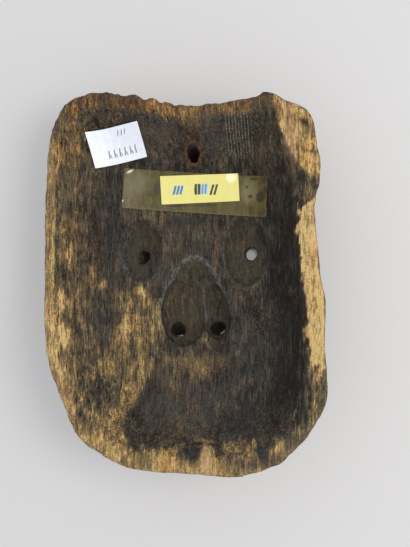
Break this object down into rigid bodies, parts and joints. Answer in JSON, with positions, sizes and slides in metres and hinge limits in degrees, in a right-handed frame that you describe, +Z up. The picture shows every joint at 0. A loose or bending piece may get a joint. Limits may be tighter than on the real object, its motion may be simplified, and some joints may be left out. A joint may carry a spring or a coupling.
{
  "type": "wooden mask",
  "caption": "Carved wooden face mask lying face down, its back hollowed for a face, with pierced eyes and nostrils, a hole to hang it by, a broken corner and paper labels.",
  "frame": {"origin": "middle of the bounding box, on the surface that the mask lies on face down", "axes": "+X to the right and +Y towards the top edge as the hollow back is seen from above, +Z up out of the back"},
  "size_m": [0.1296, 0.1762, 0.0521],
  "materials": {
    "mask": "matte",
    "white_sticker": "satin",
    "old_tape": "satin",
    "yellow_label": "matte"
  },
  "bodies": {
    "root": {"mask": "mask", "white_sticker": "white_sticker", "old_tape": "old_tape", "yellow_label": "yellow_label"}
  },
  "joints": []
}
